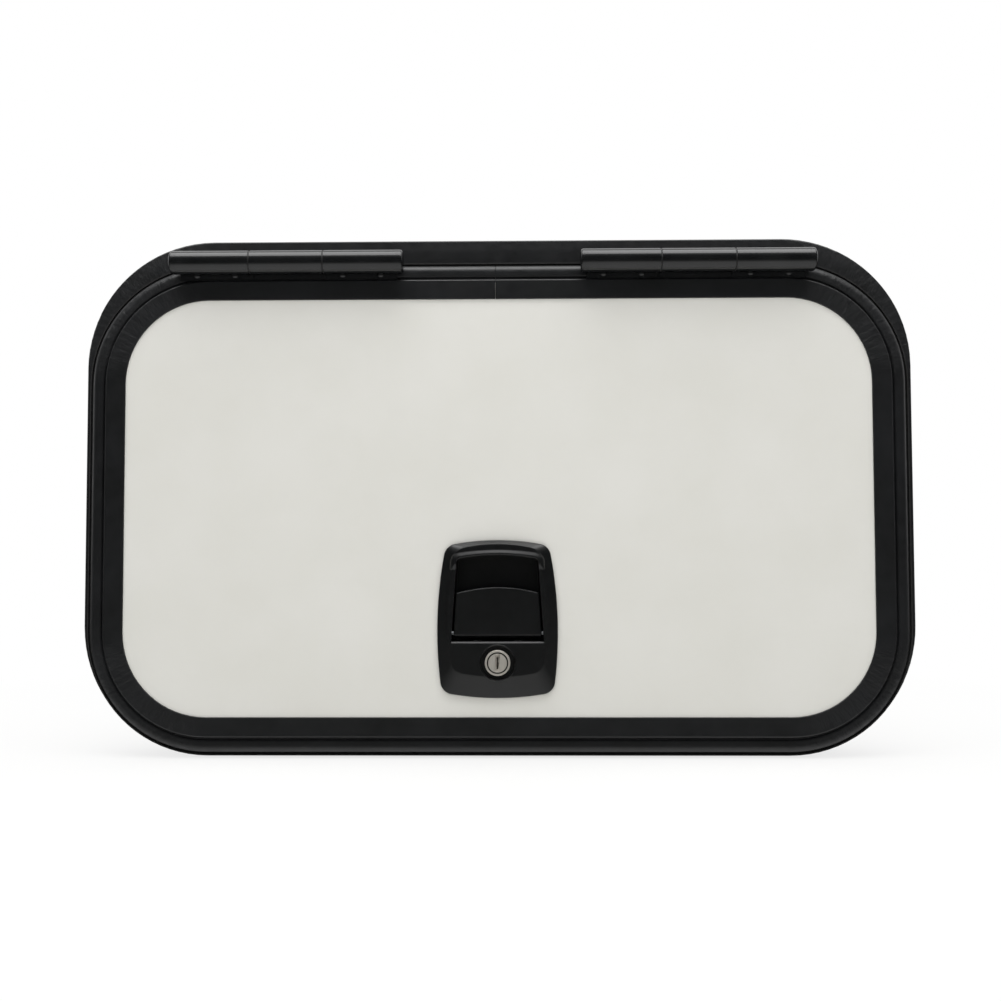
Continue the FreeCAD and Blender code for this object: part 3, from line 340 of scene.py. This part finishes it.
powder = {
    "colours": ("#111213", "#17181A"),
    "patchSize": 35.0,
    "patchDetail": 3.0,
    "roughness": (0.34, 0.46),
    "wearSize": 6.0,
    "wearDetail": 4.0,
    "grainSize": 0.9,  # real powder grain is about 0.3, drawn three times as coarse so that it shows
    "grainDetail": 2.0,
    "grainDepth": 0.012,
    "edgeRadius": 0.3,
    "ior": 1.5,
    "skinCornerRadius": 73.8,
    "bendFade": 20.0,
    "cornerHaze": 0.10,
    "creaseScale": 22.0,  # creases to a radian of the bend
    "creaseDetail": 3.0,
    "creaseStretch": 4.0,  # how fast a crease changes on its way outward
    "creaseDepth": 0.8,
}


def bentCorners(tree, place):
    # angle and distance round the middle of the nearest bend, and a mask that is 1 inside the
    # bends, which share their middles with the corners of the skin
    (left, _, bottom), (right, _, top) = skinBox
    halfWidth, halfHeight = (right - left) / 2, (top - bottom) / 2
    across, up = halfWidth - powder["skinCornerRadius"], halfHeight - powder["skinCornerRadius"]
    doorMiddle = (0.0, 0.0, (top + bottom) / 2 * millimetre)
    bendMiddle = (across * millimetre, 0.0, up * millimetre)
    steps = [("MULTIPLY", (1.0, 0.0, 1.0)), ("SUBTRACT", doorMiddle), ("ABSOLUTE", None), ("SUBTRACT", bendMiddle)]
    for operation, other in steps:
        settings = {"operation": operation, 1: other} if other else {"operation": operation}
        place = addNode(tree, "ShaderNodeVectorMath", settings, {0: place})
    radius = addNode(tree, "ShaderNodeVectorMath", {"operation": "LENGTH"}, {0: place}).outputs["Value"]
    parts = addNode(tree, "ShaderNodeSeparateXYZ", None, {"Vector": place})
    across, up = parts.outputs["X"], parts.outputs["Z"]
    angle = addNode(tree, "ShaderNodeMath", {"operation": "ARCTAN2"}, {0: up, 1: across})
    inside = addNode(tree, "ShaderNodeMath", {"operation": "MINIMUM"}, {0: across, 1: up})
    reach = powder["bendFade"] * millimetre
    fade = {"From Min": 0.0, "From Max": reach, "To Min": 0.0, "To Max": 1.0, "interpolation_type": "SMOOTHSTEP"}
    return angle, radius, addNode(tree, "ShaderNodeMapRange", fade, {"Value": inside})


def blackPowderCoat():
    # satin black powder on a bent aluminium section: a soft grey sheen, fine pebbled grain,
    # and faint creases that fan out where the section was bent
    material, tree, place = newMaterial("black_powder_coated_aluminium")
    surface = patchySurface(tree, place, powder)
    angle, radius, bends = bentCorners(tree, place)
    # bending stretched the coat in the corners, which leaves it hazier there
    hazier = {"operation": "MULTIPLY", 1: powder["cornerHaze"]}
    haze = addNode(tree, "ShaderNodeMath", hazier, {0: bends})
    rough = {0: surface["Roughness"], 1: haze}
    surface["Roughness"] = addNode(tree, "ShaderNodeMath", {"operation": "ADD"}, rough)
    # each crease is a few degrees wide and runs some way outward before it fades
    outwards = {"operation": "MULTIPLY", 1: powder["creaseStretch"]}
    outward = addNode(tree, "ShaderNodeMath", outwards, {0: radius})
    fan = addNode(tree, "ShaderNodeCombineXYZ", None, {"X": angle, "Y": outward})
    drawn = {"Scale": powder["creaseScale"], "Detail": powder["creaseDetail"]}
    streaks = addNode(tree, "ShaderNodeTexNoise", drawn, {"Vector": fan})
    creases = addNode(tree, "ShaderNodeMath", {"operation": "MULTIPLY"}, {0: streaks, 1: bends})
    folds = {"Height": creases, "Normal": surface["Normal"]}
    depth = powder["creaseDepth"] * millimetre
    surface["Normal"] = addNode(tree, "ShaderNodeBump", {"Distance": depth}, folds)
    closeMaterial(tree, {"IOR": powder["ior"]}, surface)
    return material


hinge = {
    "colours": ("#0E0F10", "#141516"),
    "patchSize": 18.0,
    "patchDetail": 2.0,
    "roughness": (0.11, 0.19),
    "wearSize": 3.0,
    "wearDetail": 4.0,
    "grainSize": 2.5,
    "grainDetail": 2.0,
    "grainDepth": 0.002,
    "edgeRadius": 0.15,
    "ior": 1.5,
    "lineSize": 1.2,  # die lines are about 0.2 wide, drawn coarser so that they show
    "lineDetail": 3.0,
    "lineSharpness": 0.6,
    "lineStretch": (0.04, 1.0, 1.0),
    "lineDepth": 0.0015,
}


def blackHingeCoat():
    # smoother, glossier coat on extruded hinge knuckles, with faint lines along the extrusion
    material, tree, place = newMaterial("black_coated_extrusion")
    surface = patchySurface(tree, place, hinge)
    along = addNode(tree, "ShaderNodeMapping", {"Scale": hinge["lineStretch"]}, {"Vector": place})
    scale = perMetre(hinge["lineSize"])
    drawn = {"Scale": scale, "Detail": hinge["lineDetail"], "Roughness": hinge["lineSharpness"]}
    lines = addNode(tree, "ShaderNodeTexNoise", drawn, {"Vector": along})
    depth = hinge["lineDepth"] * millimetre
    links = {"Height": lines, "Normal": surface["Normal"]}
    surface["Normal"] = addNode(tree, "ShaderNodeBump", {"Distance": depth}, links)
    closeMaterial(tree, {"IOR": hinge["ior"]}, surface)
    return material


# smooth off-white gelcoat on a fibreglass sheet: nearly even colour, a very soft mottle and
# a slow orange peel that only bends reflections
skin = {
    "name": "white_gelcoat_fibreglass",
    "colours": ("#D9D8D2", "#DDDCD7"),
    "patchSize": 60.0,
    "patchDetail": 4.0,
    "roughness": (0.30, 0.40),
    "wearSize": 14.0,
    "wearDetail": 3.0,
    "grainSize": 7.0,
    "grainDetail": 2.0,
    "grainDepth": 0.02,
    "edgeRadius": 0.0,
    "ior": 1.5,
}

# extruded EPDM rubber: dull black, slightly greyed, hardly any highlight
rubber = {
    "name": "black_epdm_rubber",
    "colours": ("#161616", "#1F1F1F"),
    "patchSize": 5.0,
    "patchDetail": 5.0,
    "roughness": (0.62, 0.78),
    "wearSize": 2.0,
    "wearDetail": 3.0,
    "grainSize": 0.6,
    "grainDetail": 2.0,
    "grainDepth": 0.015,
    "edgeRadius": 0.0,
    "ior": 1.52,
}

# dark turned nylon: waxy, so it shows as a dull line between the glossy knuckles
washer = {
    "name": "dark_nylon",
    "colours": ("#080808", "#0D0D0D"),
    "patchSize": 2.0,
    "patchDetail": 2.0,
    "roughness": (0.6, 0.6),
    "wearSize": 2.0,
    "wearDetail": 2.0,
    "grainSize": 0.5,
    "grainDetail": 2.0,
    "grainDepth": 0.01,
    "edgeRadius": 0.0,
    "ior": 1.53,
}

# polished moulded polypropylene, as glossy as the coat beside it but without its lines
cap = {
    "name": "moulded_black_polypropylene",
    "colours": ("#0E0F10", "#141516"),
    "patchSize": 3.0,
    "patchDetail": 2.0,
    "roughness": (0.16, 0.24),
    "wearSize": 1.5,
    "wearDetail": 3.0,
    "grainSize": 1.5,
    "grainDetail": 2.0,
    "grainDepth": 0.002,
    "edgeRadius": 0.0,
    "ior": 1.49,
}

# moulded black nylon with a fine spark-eroded grain: satin, edges catch a soft light
lockBody = {
    "name": "moulded_black_nylon",
    "colours": ("#0A0B0C", "#0F1011"),
    "patchSize": 12.0,
    "patchDetail": 3.0,
    "roughness": (0.28, 0.36),
    "wearSize": 2.5,
    "wearDetail": 4.0,
    "grainSize": 0.55,  # spark-eroded grain is about 0.2, drawn coarser so that it shows
    "grainDetail": 3.0,
    "grainDepth": 0.004,
    "edgeRadius": 1.3,
    "ior": 1.53,
}

foam = {"colours": ("#D9CFA4", "#EFE6C4"), "cellSize": 0.8, "cellDepth": 0.2, "roughness": 0.9, "ior": 1.5}


def rigidFoam():
    # cut polyurethane foam: pale yellow, open cells that make it quite matte
    material, tree, place = newMaterial("rigid_polyurethane_foam")
    cells = addNode(tree, "ShaderNodeTexVoronoi", {"Scale": perMetre(foam["cellSize"])}, {"Vector": place})
    colour = addNode(tree, "ShaderNodeMix", twoColours(*foam["colours"]), {0: cells}).outputs[2]
    normal = addNode(tree, "ShaderNodeBump", {"Distance": foam["cellDepth"] * millimetre}, {"Height": cells})
    settings = {"Roughness": foam["roughness"], "IOR": foam["ior"]}
    closeMaterial(tree, settings, {"Base Color": colour, "Normal": normal})
    return material


nickel = {
    "colours": ("#CAC6BE", "#DCD8D0"),
    # colour of the painted shade in the groove round the plug
    "paintedGrooveShade": "#2E2C28",
    "brushSize": 0.35,  # brush marks are under 0.1 wide, drawn coarser so that they show
    "brushDetail": 4.0,
    "brushSharpness": 0.7,
    "brushStretch": (1.0, 1.0, 0.06),
    "brushDepth": 0.01,
    "roughness": (0.62, 0.74),
    "metallic": 0.88,
    "edgeRadius": 0.4,
    "grooveRadius": 7.25,
    "grooveHalfWidth": 0.3,
}


def satinNickel():
    # nickel-plated brass, face brushed up and down: warm grey with short vertical scratches
    material, tree, place = newMaterial("satin_nickel_plate")
    strokes = addNode(tree, "ShaderNodeMapping", {"Scale": nickel["brushStretch"]}, {"Vector": place})
    scale = perMetre(nickel["brushSize"])
    drawn = {"Scale": scale, "Detail": nickel["brushDetail"], "Roughness": nickel["brushSharpness"]}
    brushed = addNode(tree, "ShaderNodeTexNoise", drawn, {"Vector": strokes})
    share = addNode(tree, "ShaderNodeMapRange", stretched(0.0, 1.0), {"Value": brushed})
    plate = addNode(tree, "ShaderNodeMix", twoColours(*nickel["colours"]), {0: share}).outputs[2]
    rough = addNode(tree, "ShaderNodeMapRange", stretched(*nickel["roughness"]), {"Value": brushed})
    # painted shade darkens the groove round the plug and the edge of the plug itself
    axis = (0.0, 0.0, cylinderMiddle[2] * millimetre)
    flat = addNode(tree, "ShaderNodeVectorMath", {"operation": "MULTIPLY", 1: (1.0, 0.0, 1.0)}, {0: place})
    fromAxis = addNode(tree, "ShaderNodeVectorMath", {"operation": "SUBTRACT", 1: axis}, {0: flat})
    radius = addNode(tree, "ShaderNodeVectorMath", {"operation": "LENGTH"}, {0: fromAxis}).outputs["Value"]
    groove = {"operation": "SUBTRACT", 1: nickel["grooveRadius"] * millimetre}
    beyond = addNode(tree, "ShaderNodeMath", groove, {0: radius})
    fromGroove = addNode(tree, "ShaderNodeMath", {"operation": "ABSOLUTE"}, {0: beyond})
    half = nickel["grooveHalfWidth"] * millimetre
    fade = {"From Min": half, "From Max": 2 * half, "To Min": 1.0, "To Max": 0.0}
    grooveShadeMask = addNode(tree, "ShaderNodeMapRange", fade, {"Value": fromGroove})
    # the dark colour mixed in here is painted shade, not grease
    paintedGrooveShade = {"data_type": "RGBA", 7: toLinear(nickel["paintedGrooveShade"])}
    colour = addNode(tree, "ShaderNodeMix", paintedGrooveShade, {0: grooveShadeMask, 6: plate}).outputs[2]
    soft = addNode(tree, "ShaderNodeBevel", {"samples": edgeSamples, "Radius": nickel["edgeRadius"] * millimetre})
    depth = nickel["brushDepth"] * millimetre
    normal = addNode(tree, "ShaderNodeBump", {"Distance": depth}, {"Height": brushed, "Normal": soft})
    # the plate is worn and filmed over, so a little of its light is scattered
    surface = {"Base Color": colour, "Roughness": rough, "Normal": normal}
    closeMaterial(tree, {"Metallic": nickel["metallic"]}, surface)
    return material


zinc = {
    "colours": ("#A9ADB1", "#C6C9CB"),
    "crystalSize": 1.6,
    "roughness": (0.24, 0.40),
    "wearSize": 3.0,
    "wearDetail": 4.0,
    "rippleSize": 2.0,
    "rippleDepth": 0.003,
}


def zincPlate():
    # bright zinc on steel: bluish grey, cloudy, with small crystals in the plate
    material, tree, place = newMaterial("bright_zinc_plate")
    crystals = addNode(tree, "ShaderNodeTexVoronoi", {"Scale": perMetre(zinc["crystalSize"])}, {"Vector": place})
    share = crystals.outputs["Color"]
    colour = addNode(tree, "ShaderNodeMix", twoColours(*zinc["colours"]), {0: share}).outputs[2]
    rough = drifting(tree, place, zinc["wearSize"], *zinc["roughness"], zinc["wearDetail"])
    ripples = addNode(tree, "ShaderNodeTexNoise", {"Scale": perMetre(zinc["rippleSize"])}, {"Vector": place})
    normal = addNode(tree, "ShaderNodeBump", {"Distance": zinc["rippleDepth"] * millimetre}, {"Height": ripples})
    closeMaterial(tree, {"Metallic": 1.0}, {"Base Color": colour, "Roughness": rough, "Normal": normal})
    return material


finishes = {
    "frame_black": blackPowderCoat(),
    "hinge_black": blackHingeCoat(),
    "skin_white": patchyMaterial(skin),
    "foam_core": rigidFoam(),
    "seal_rubber": patchyMaterial(rubber),
    "washer_nylon": patchyMaterial(washer),
    "cap_plastic": patchyMaterial(cap),
    "lock_plastic": patchyMaterial(lockBody),
    "cylinder_nickel": satinNickel(),
    "zinc_steel": zincPlate(),
}
slotOf = {part["node"]: part["material_slot"] for part in frame["record"]["subparts"]}
for name, piece in nodes.items():
    for materialSlot in piece.material_slots:
        materialSlot.material = finishes[slotOf[name]]
print("finishes on", len(nodes), "nodes")


# Added pieces, drawn in millimetres
sharpAngle = 35.0


def gridFaces(rows, columns):
    # quads between rows of points that each close round
    faces = []
    for row in range(rows - 1):
        for column in range(columns):
            after = (column + 1) % columns
            low, high = row * columns, (row + 1) * columns
            faces.append((low + column, low + after, high + after, high + column))
    return faces


def addPiece(name, points, faces, finish):
    mesh = bpy.data.meshes.new(name)
    mesh.from_pydata([Vector(point) * millimetre for point in points], [], faces)
    work = bmesh.new()
    work.from_mesh(mesh)
    bmesh.ops.recalc_face_normals(work, faces=work.faces)
    work.to_mesh(mesh)
    work.free()
    mesh.shade_smooth()
    mesh.set_sharp_from_angle(angle=math.radians(sharpAngle))
    mesh.materials.append(finishes[finish])
    piece = bpy.data.objects.new(name, mesh)
    bpy.context.scene.collection.objects.link(piece)
    return piece


# shares are of the head's radius, and the recess's depth is a share of the head's height
driveScrew = {
    "segments": 64,
    "recessRings": 18,
    "recessReach": 1.05,  # the recess's rings go this far past the arms' ends
    "rimRings": 12,
    "domeFlatness": 5,
    "armHalfWidth": 0.15,
    "armWallRun": 0.035,
    "armLength": 0.62,
    "armTipRun": 0.4,
    "recessDepth": 0.62,
    "pitch": 1.1,
    "threadDepth": 0.3,
    "stepsPerTurn": 6,
    "tipLength": 1.6,
    "tipShare": 0.04,
    "firstTurn": 0.4,
    "nextTurn": 1.3,
}

# outward is the way that the heads face
screwSets = [
    {
        "name": "clamp_screws_with_drive",
        "node": "lock_clamp_screws",
        "body": "door",
        "headHeight": 2.0,
        "shankRadius": 1.4,
        "outward": (0, 1, 0),
    },
    {
        "name": "striker_screws_with_drive",
        "node": "striker_screws",
        "body": "frame",
        "headHeight": 1.8,
        "shankRadius": 1.7,
        "outward": (0, 0, 1),
    },
    {
        "name": "cam_screw_with_drive",
        "node": "cam_screw",
        "body": "key",
        "headHeight": 2.2,
        "shankRadius": 1.9,
        "outward": (0, 1, 0),
    },
]


def recessDepthAt(x, y):
    # a cross whose arms rise towards their ends
    deepest = 0.0
    for along, aside in ((abs(x), abs(y)), (abs(y), abs(x))):
        wall = (driveScrew["armHalfWidth"] - aside) / driveScrew["armWallRun"]
        tip = (driveScrew["armLength"] - along) / driveScrew["armTipRun"]
        deepest = max(deepest, min(1.0, wall, tip))
    return deepest


def headRings(screw, headRadius):
    # rings from the middle of the cross recess out over the domed head
    columns, inner, outer = driveScrew["segments"], driveScrew["recessRings"], driveScrew["rimRings"]
    reach = driveScrew["armLength"] * driveScrew["recessReach"]
    shares = [reach * (ring + 0.5) / inner for ring in range(inner)]
    last = shares[-1]
    shares += [last + (1 - last) * math.sin(math.pi / 2 * (ring + 1) / outer) for ring in range(outer)]
    rings = []
    for share in shares:
        dome = screw["headHeight"] * (1 - share ** driveScrew["domeFlatness"]) ** 0.5
        ring = []
        for column in range(columns):
            angle = 2 * math.pi * column / columns
            x, y = share * math.cos(angle), share * math.sin(angle)
            sunk = driveScrew["recessDepth"] * screw["headHeight"] * recessDepthAt(x, y)
            ring.append((headRadius * x, headRadius * y, dome - sunk))
        rings.append(ring)
    return rings


def shankRings(screw, length):
    # rings down the threaded shank to its tip
    columns, pitch = driveScrew["segments"], driveScrew["pitch"]
    steps = int(length / pitch * driveScrew["stepsPerTurn"])
    rings = []
    for step in range(steps + 1):
        depth = length * step / steps
        taper = max(min(1.0, (length - depth) / driveScrew["tipLength"]), driveScrew["tipShare"])
        ring = []
        for column in range(columns):
            angle = 2 * math.pi * column / columns
            crest = 1 - abs(2 * ((depth / pitch - column / columns) % 1.0) - 1)
            radius = (screw["shankRadius"] - driveScrew["threadDepth"] * (1 - crest)) * taper
            ring.append((radius * math.cos(angle), radius * math.sin(angle), -depth))
        rings.append(ring)
    return rings


def addScrews(screw, node, body):
    # the plain screws of the node give the places, the heads' radius and the length
    boxes = boxesOf(node)
    along = screw["outward"].index(1)
    sizes = [high - low for low, high in zip(*boxes[0])]
    shankLength = round(sizes.pop(along) - screw["headHeight"], 2)
    rings = headRings(screw, round(max(sizes) / 2, 2)) + shankRings(screw, shankLength)
    columns = driveScrew["segments"]
    turn = Vector((0, 0, 1)).rotation_difference(Vector(screw["outward"]))
    points, faces = [], []
    for index, box in enumerate(boxes):
        seat = middleOf(box)
        seat[along] = round(box[1][along] - screw["headHeight"], 2)
        start = len(points)
        spin = Matrix.Rotation(driveScrew["firstTurn"] + driveScrew["nextTurn"] * index, 3, "Z")
        points += [turn @ (spin @ Vector(point)) + Vector(seat) for ring in rings for point in ring]
        faces += [tuple(start + corner for corner in face) for face in gridFaces(len(rings), columns)]
        for firstOfRing in (start, start + (len(rings) - 1) * columns):
            faces.append(tuple(firstOfRing + column for column in range(columns)))
    piece = addPiece(screw["name"], points, faces, "zinc_steel")
    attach(piece, body)
    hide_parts(node)


for screw in screwSets:
    addScrews(screw, screw["node"], screw["body"])


pocketRim = {
    "ringRadius": 12.95,
    "behindHousingFront": 1.0,
    "lipRadius": 0.4,
    "around": 128,
    "section": 12,
}


def addPocketRim():
    # the low rounded lip round the hollow of the key cylinder
    around, section, lip = pocketRim["around"], pocketRim["section"], pocketRim["lipRadius"]
    front = housingFront + pocketRim["behindHousingFront"]
    points = []
    for step in range(section):
        turn = 2 * math.pi * step / section
        radius = pocketRim["ringRadius"] + lip * math.cos(turn)
        depth = front + lip * (1 + math.sin(turn))
        for column in range(around):
            angle = 2 * math.pi * column / around
            points.append((radius * math.cos(angle), depth, cylinderMiddle[2] + radius * math.sin(angle)))
    # the last row joins the first
    faces = [tuple(corner % len(points) for corner in face) for face in gridFaces(section + 1, around)]
    piece = addPiece("cylinder_pocket_rim", points, faces, "lock_plastic")
    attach(piece, "door")


addPocketRim()
print("screws and the pocket's rim added")
